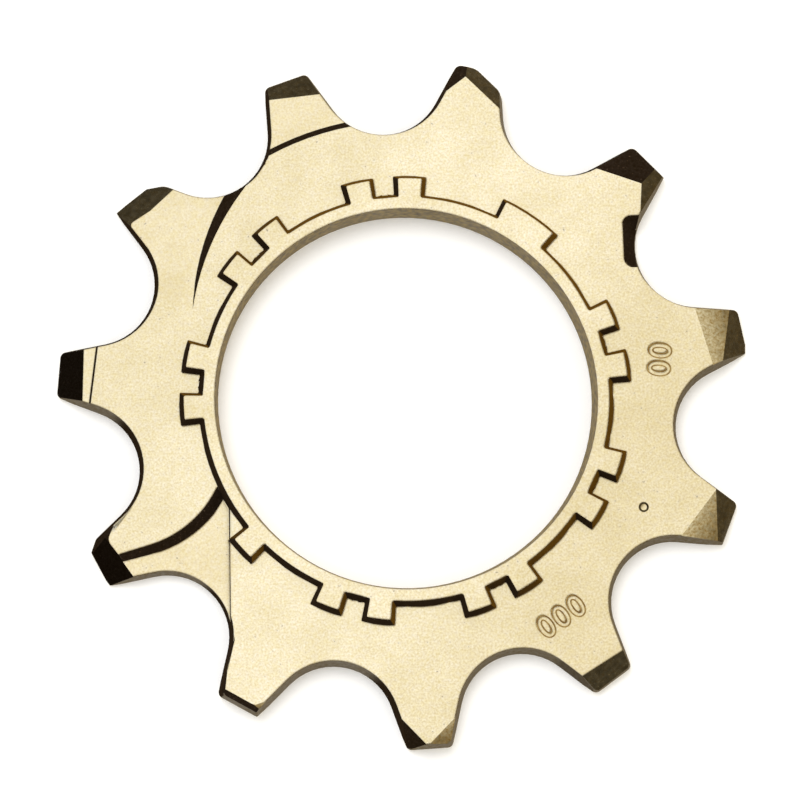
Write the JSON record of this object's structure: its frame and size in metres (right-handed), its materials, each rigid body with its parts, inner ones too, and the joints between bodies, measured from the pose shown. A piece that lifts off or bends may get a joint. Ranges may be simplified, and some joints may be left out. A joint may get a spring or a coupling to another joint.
{
  "type": "cassette cog",
  "caption": "Small toothed steel cog for a bicycle cassette, with a smooth bore, a raised castellated collar, faceted tooth tips and two shift ramps.",
  "frame": {"origin": "centre of the bore on the flat back face", "axes": "+Z along the bore axis, out of the front face with the collar; +X to the right and +Y up as the front face is seen in the picture"},
  "size_m": [0.0473, 0.0473, 0.0026],
  "materials": {
    "plated_steel": "satin champagne plating, fine speckle, dark walls and tip facets"
  },
  "bodies": {
    "root": {"cog": "plated_steel"}
  },
  "joints": []
}
